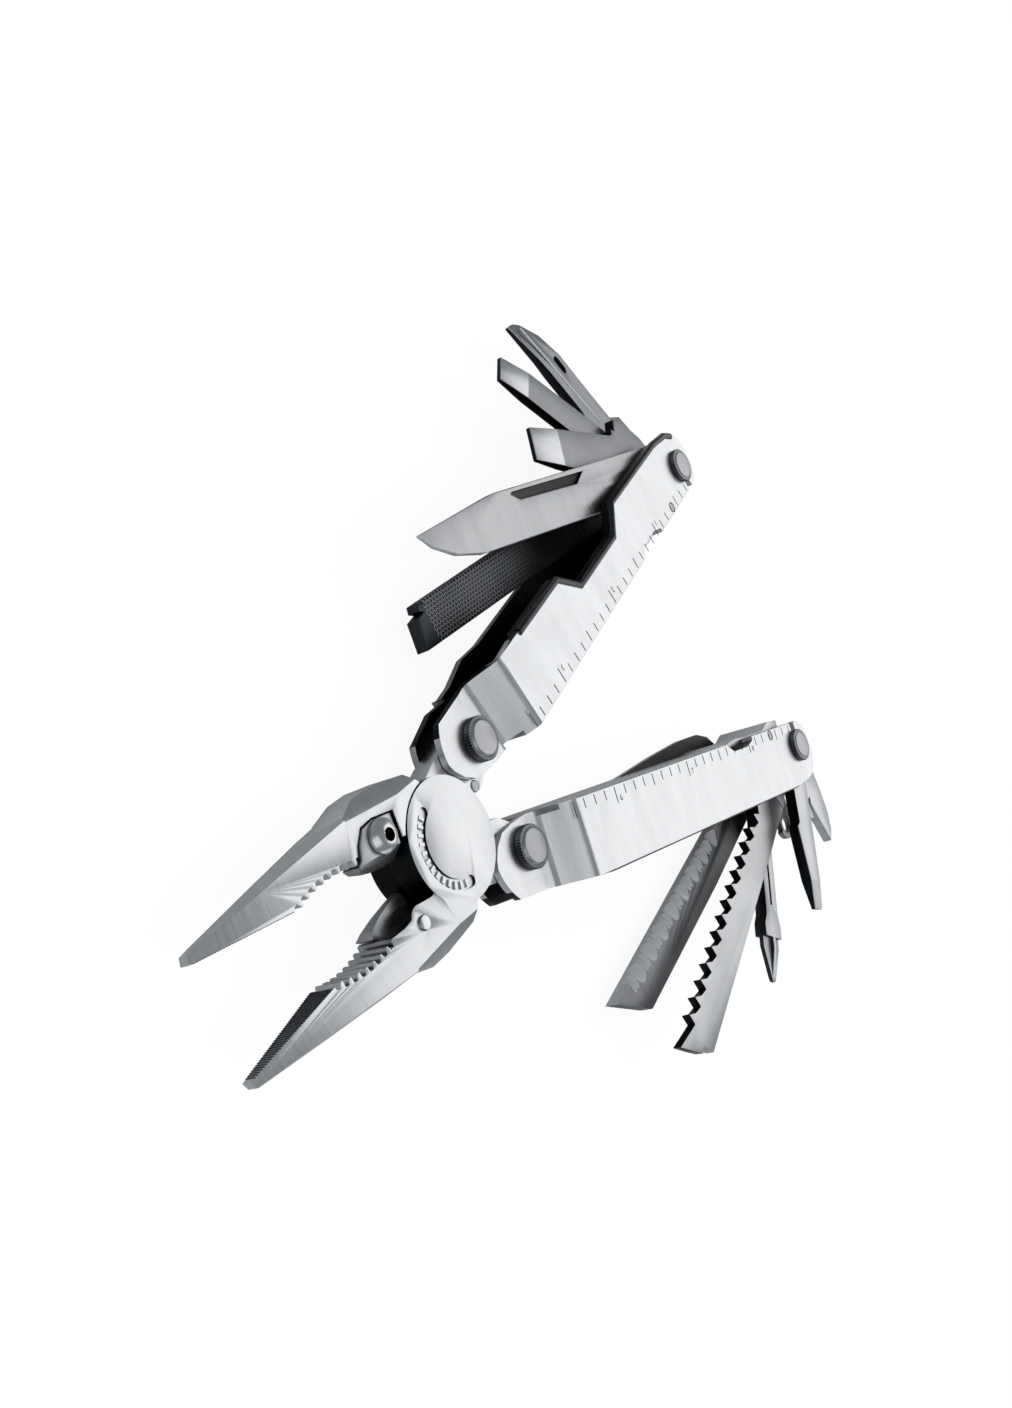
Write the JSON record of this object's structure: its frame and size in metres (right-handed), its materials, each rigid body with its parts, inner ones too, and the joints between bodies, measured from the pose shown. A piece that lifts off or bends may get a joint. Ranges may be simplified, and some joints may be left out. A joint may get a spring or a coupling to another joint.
{
  "type": "folding multi tool",
  "caption": "Folding pocket multi tool: pliers with exchangeable wire cutters between sheet metal handles, with blades, saw, file, drivers, awl and openers fanned out.",
  "frame": {"origin": "centre of the near face of the pliers joint, on the axis of the jaw pivot", "axes": "+X from the joint toward the tip of the lower jaw and away from handle A, +Z square to the tool's flat side, toward the viewer; every pivot is parallel to Z"},
  "size_m": [0.1658, 0.1309, 0.0186],
  "materials": {
    "polished_steel": "bright brushed stainless steel",
    "satin_steel": "satin, bead blasted stainless steel",
    "dark_steel": "dark grey oxide finish on steel",
    "rivet_steel": "turned and knurled stainless steel"
  },
  "bodies": {
    "lower_half": {"lower_jaw": "polished_steel", "lower_cutter": "satin_steel", "lower_cutter_screw": "rivet_steel", "stop_pin": "rivet_steel", "main_axle": "rivet_steel"},
    "upper_half": {"upper_jaw": "polished_steel", "upper_cutter": "satin_steel", "upper_cutter_screw": "rivet_steel"},
    "handle_a": {"handle_a_channel": "polished_steel", "handle_a_neck_rivet": "rivet_steel", "handle_a_tool_rivet": "rivet_steel", "handle_a_lock_pin": "rivet_steel", "handle_a_near_spacer": "rivet_steel", "handle_a_far_spacer": "rivet_steel"},
    "handle_b": {"handle_b_channel": "polished_steel", "handle_b_neck_rivet": "rivet_steel", "handle_b_tool_rivet": "rivet_steel", "handle_b_lock_pin": "rivet_steel"},
    "rocker_a": {"handle_a_rocker_lock": "polished_steel"},
    "rocker_b": {"handle_b_rocker_lock": "polished_steel"},
    "knife_body": {"knife": "polished_steel"},
    "large_screwdriver_body": {"large_screwdriver": "satin_steel"},
    "medium_screwdriver_body": {"medium_screwdriver": "satin_steel"},
    "awl_body": {"awl": "satin_steel"},
    "file_body": {"file": "dark_steel"},
    "small_screwdriver_body": {"small_screwdriver": "satin_steel"},
    "can_opener_body": {"can_opener": "satin_steel"},
    "saw_body": {"saw": "satin_steel"},
    "lanyard_tab_body": {"lanyard_tab": "satin_steel"},
    "phillips_screwdriver_body": {"phillips_screwdriver": "satin_steel"},
    "serrated_knife_body": {"serrated_knife": "dark_steel"}
  },
  "joints": [
    {"name": "jaw_pivot", "type": "hinge", "parent": "lower_half", "child": "upper_half", "pos_m": [0, 0, -0.0042], "axis": [0, 0, -1], "range_deg": [-18, 14]},
    {"name": "handle_a_fold", "type": "hinge", "parent": "lower_half", "child": "handle_a", "pos_m": [-0.01799, -0.00512, -0.0042], "axis": [0, 0, 1], "range_deg": [0, 100]},
    {"name": "handle_b_fold", "type": "hinge", "parent": "upper_half", "child": "handle_b", "pos_m": [-0.01361, 0.01282, -0.0042], "axis": [0, 0, -1], "range_deg": [0, 105]},
    {"name": "rocker_a_press", "type": "hinge", "parent": "handle_a", "child": "rocker_a", "pos_m": [-0.09928, -0.00127, -0.0042], "axis": [0, 0, 1], "range_deg": [-5, 0], "stiffness_Nm_per_rad": 0.4},
    {"name": "rocker_b_press", "type": "hinge", "parent": "handle_b", "child": "rocker_b", "pos_m": [-0.08756, 0.04682, -0.0042], "axis": [0, 0, -1], "range_deg": [-5, 0], "stiffness_Nm_per_rad": 0.4},
    {"name": "knife_fold", "type": "hinge", "parent": "handle_a", "child": "knife_body", "pos_m": [-0.11028, -0.00512, -0.0042], "axis": [0, 0, 1], "range_deg": [-161.6, 18.4]},
    {"name": "large_screwdriver_fold", "type": "hinge", "parent": "handle_a", "child": "large_screwdriver_body", "pos_m": [-0.11028, -0.00512, -0.0042], "axis": [0, 0, 1], "range_deg": [-146, 34]},
    {"name": "medium_screwdriver_fold", "type": "hinge", "parent": "handle_a", "child": "medium_screwdriver_body", "pos_m": [-0.11028, -0.00512, -0.0042], "axis": [0, 0, 1], "range_deg": [-125, 55]},
    {"name": "awl_fold", "type": "hinge", "parent": "handle_a", "child": "awl_body", "pos_m": [-0.11028, -0.00512, -0.0042], "axis": [0, 0, 1], "range_deg": [-105, 75]},
    {"name": "file_fold", "type": "hinge", "parent": "handle_a", "child": "file_body", "pos_m": [-0.11028, -0.00512, -0.0042], "axis": [0, 0, 1], "range_deg": [-169, 11]},
    {"name": "small_screwdriver_fold", "type": "hinge", "parent": "handle_b", "child": "small_screwdriver_body", "pos_m": [-0.09556, 0.0553, -0.0042], "axis": [0, 0, -1], "range_deg": [-106, 74]},
    {"name": "can_opener_fold", "type": "hinge", "parent": "handle_b", "child": "can_opener_body", "pos_m": [-0.09556, 0.0553, -0.0042], "axis": [0, 0, -1], "range_deg": [-68, 112]},
    {"name": "saw_fold", "type": "hinge", "parent": "handle_b", "child": "saw_body", "pos_m": [-0.09556, 0.0553, -0.0042], "axis": [0, 0, -1], "range_deg": [-146, 34]},
    {"name": "lanyard_tab_fold", "type": "hinge", "parent": "handle_b", "child": "lanyard_tab_body", "pos_m": [-0.09556, 0.0553, -0.0042], "axis": [0, 0, -1], "range_deg": [-87, 93]},
    {"name": "phillips_screwdriver_fold", "type": "hinge", "parent": "handle_b", "child": "phillips_screwdriver_body", "pos_m": [-0.09556, 0.0553, -0.0042], "axis": [0, 0, -1], "range_deg": [-115, 65]},
    {"name": "serrated_knife_fold", "type": "hinge", "parent": "handle_b", "child": "serrated_knife_body", "pos_m": [-0.09556, 0.0553, -0.0042], "axis": [0, 0, -1], "range_deg": [-155, 25]}
  ]
}
